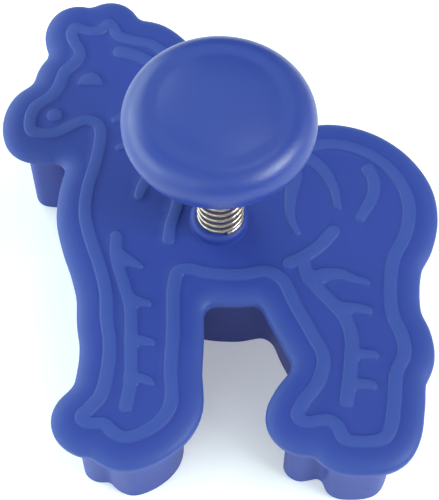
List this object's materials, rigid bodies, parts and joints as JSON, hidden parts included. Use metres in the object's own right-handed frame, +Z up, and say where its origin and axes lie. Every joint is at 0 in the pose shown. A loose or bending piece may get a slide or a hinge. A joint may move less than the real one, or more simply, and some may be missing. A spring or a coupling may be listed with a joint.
{
  "type": "cookie stamp",
  "caption": "Animal-shaped cookie cutter and stamp: a flanged skirt cuts the outline and a spring-return knob presses an embossing plate down inside it.",
  "frame": {"origin": "centre of the flange's bounding box, on the plane that the cutting edge stands on", "axes": "+Z up along the plunger, +Y from the hoofs to the ears of the figure, +X from its head to its tail end"},
  "size_m": [0.0616, 0.0754, 0.0478],
  "materials": {
    "body_plastic": "satin blue moulded plastic with a fine grain",
    "stamp_plastic": "satin blue moulded plastic",
    "stem_plastic": "smooth blue moulded plastic",
    "knob_plastic": "satin blue moulded plastic with a fine grain",
    "spring_steel": "bright drawn spring wire"
  },
  "bodies": {
    "cutter": {"cutter_body": "body_plastic", "return_spring": "spring_steel"},
    "plunger": {"knob": "knob_plastic", "plunger_stem": "stem_plastic", "stamp_plate": "stamp_plastic"}
  },
  "joints": [
    {"name": "plunger_press", "type": "slide", "parent": "cutter", "child": "plunger", "axis": [0, 0, -1], "range_m": [0, 0.01], "stiffness_N_per_m": 600, "springref_m": -0.0056, "deforming": ["return_spring"]}
  ]
}
